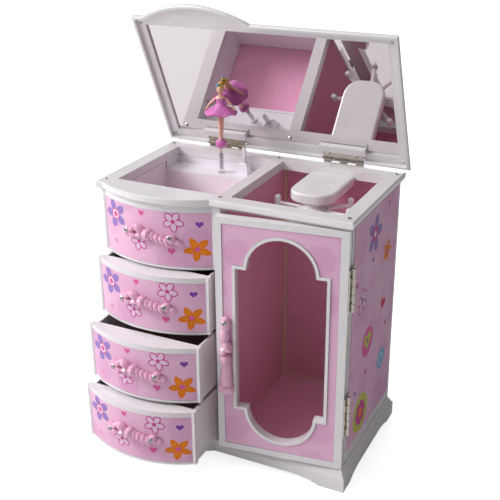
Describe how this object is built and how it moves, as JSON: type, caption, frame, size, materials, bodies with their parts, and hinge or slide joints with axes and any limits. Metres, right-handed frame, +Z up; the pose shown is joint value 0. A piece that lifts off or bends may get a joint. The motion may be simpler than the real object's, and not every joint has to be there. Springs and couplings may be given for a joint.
{
  "type": "wind up music box",
  "caption": "Dresser-shaped wind up music box with mirrored lid, folding dancer, tray, bow-fronted drawers, and a glazed cabin door with a turning necklace hanger.",
  "frame": {"origin": "centre of the base's footprint at rest, on the floor", "axes": "+Z up, -Y towards the front, +X to the right seen from the front"},
  "size_m": [0.2092, 0.1876, 0.3383],
  "materials": {
    "white_plastic": "gloss",
    "pink_plastic": "gloss",
    "pink_print": "satin printed sheet",
    "pink_lining": "flocked",
    "mirror": "polished",
    "clear_pane": "clear",
    "nickel": "polished",
    "steel": "satin",
    "brass": "polished",
    "figure": "painted",
    "wings": "translucent"
  },
  "bodies": {
    "case": {"base_plinth": "white_plastic", "left_wall": "white_plastic", "right_wall": "white_plastic", "back_panel": "white_plastic", "centre_partition": "white_plastic", "drawer_shelf_1": "white_plastic", "drawer_shelf_2": "white_plastic", "drawer_shelf_3": "white_plastic", "top_rim": "white_plastic", "fixed_front": "white_plastic", "jewellery_tray": "white_plastic", "movement_cover": "white_plastic", "carousel_arm": "white_plastic", "fixed_front_print": "pink_print", "side_print_left": "pink_print", "side_print_right": "pink_print", "fixed_front_pull": "pink_plastic", "tray_lining": "pink_lining", "cabin_lining": "pink_lining", "lid_hinge_case_leaf_1": "nickel", "lid_hinge_case_leaf_2": "nickel", "door_hinge_case_leaf_1": "nickel", "door_hinge_case_leaf_2": "nickel", "movement_plate": "steel", "music_comb": "steel"},
    "lid": {"lid_shell": "white_plastic", "lid_bezel": "white_plastic", "lid_mirror": "mirror", "lid_hinge_lid_leaf_1": "nickel", "lid_hinge_lid_leaf_2": "nickel"},
    "door": {"door_frame": "white_plastic", "door_print": "pink_print", "door_pane": "clear_pane", "door_pull": "pink_plastic", "door_hinge_door_leaf_1": "nickel", "door_hinge_door_leaf_2": "nickel"},
    "bottom_drawer": {"drawer_1": "white_plastic", "drawer_1_print": "pink_print", "drawer_1_lining": "pink_lining", "drawer_1_pull": "pink_plastic"},
    "middle_drawer": {"drawer_2": "white_plastic", "drawer_2_print": "pink_print", "drawer_2_lining": "pink_lining", "drawer_2_pull": "pink_plastic"},
    "upper_drawer": {"drawer_3": "white_plastic", "drawer_3_print": "pink_print", "drawer_3_lining": "pink_lining", "drawer_3_pull": "pink_plastic"},
    "carousel": {"carousel_hub": "white_plastic"},
    "cylinder": {"music_cylinder": "brass"},
    "barrel": {"spring_barrel": "brass", "winding_key": "nickel"},
    "fly": {"governor": "steel"},
    "drive_spindle": {"spindle": "steel"},
    "stem": {"figurine_stem": "steel"},
    "dancer": {"figurine": "figure", "figurine_rod": "steel", "figurine_wings": "wings"},
    "lever": {"stop_lever": "white_plastic"}
  },
  "joints": [
    {"name": "lid_hinge", "type": "hinge", "parent": "case", "child": "lid", "pos_m": [0, 0.0791, 0.2183], "axis": [-1, 0, 0], "range_deg": [-65, 0]},
    {"name": "door_hinge", "type": "hinge", "parent": "case", "child": "door", "pos_m": [0.1005, -0.0306, 0.1], "axis": [0, 0, 1], "range_deg": [-7.2, 95]},
    {"name": "bottom_drawer_slide", "type": "slide", "parent": "case", "child": "bottom_drawer", "axis": [0, -1, 0], "range_m": [-0.0389, 0.0391]},
    {"name": "middle_drawer_slide", "type": "slide", "parent": "case", "child": "middle_drawer", "axis": [0, -1, 0], "range_m": [-0.0291, 0.0489]},
    {"name": "upper_drawer_slide", "type": "slide", "parent": "case", "child": "upper_drawer", "axis": [0, -1, 0], "range_m": [-0.0118, 0.0662]},
    {"name": "carousel_spin", "type": "hinge", "parent": "case", "child": "carousel", "pos_m": [0.0495, 0.0199, 0.198], "axis": [0, 0, 1], "continuous": true},
    {"name": "cylinder_spin", "type": "hinge", "parent": "case", "child": "cylinder", "pos_m": [-0.026, 0.0609, 0.178], "axis": [1, 0, 0], "continuous": true},
    {"name": "barrel_spin", "type": "hinge", "parent": "case", "child": "barrel", "pos_m": [-0.052, 0.0649, 0.178], "axis": [0, 1, 0], "continuous": true},
    {"name": "fly_spin", "type": "hinge", "parent": "case", "child": "fly", "pos_m": [-0.0059, 0.0609, 0.182], "axis": [0, 0, 1], "continuous": true},
    {"name": "spindle_spin", "type": "hinge", "parent": "case", "child": "drive_spindle", "pos_m": [-0.043, 0.0529, 0.195], "axis": [0, 0, 1], "continuous": true},
    {"name": "stem_fold", "type": "hinge", "parent": "case", "child": "stem", "pos_m": [-0.043, 0.0529, 0.206], "axis": [-1, 0, 0], "range_deg": [-94.5, 0]},
    {"name": "dancer_spin", "type": "hinge", "parent": "stem", "child": "dancer", "pos_m": [-0.043, 0.0529, 0.215], "axis": [0, 0, 1], "continuous": true},
    {"name": "stop_lever_slide", "type": "slide", "parent": "case", "child": "lever", "axis": [0, 0, 1], "range_m": [-0.0056, 0]}
  ],
  "couplings": [
    {"joint": "barrel_spin", "follows": "cylinder_spin", "ratio": 1},
    {"joint": "spindle_spin", "follows": "cylinder_spin", "ratio": 1},
    {"joint": "dancer_spin", "follows": "cylinder_spin", "ratio": 1},
    {"joint": "fly_spin", "follows": "cylinder_spin", "ratio": 8},
    {"joint": "stem_fold", "follows": "lid_hinge", "ratio": 1.446},
    {"joint": "stop_lever_slide", "follows": "lid_hinge", "m_per_rad": 0.00485}
  ]
}
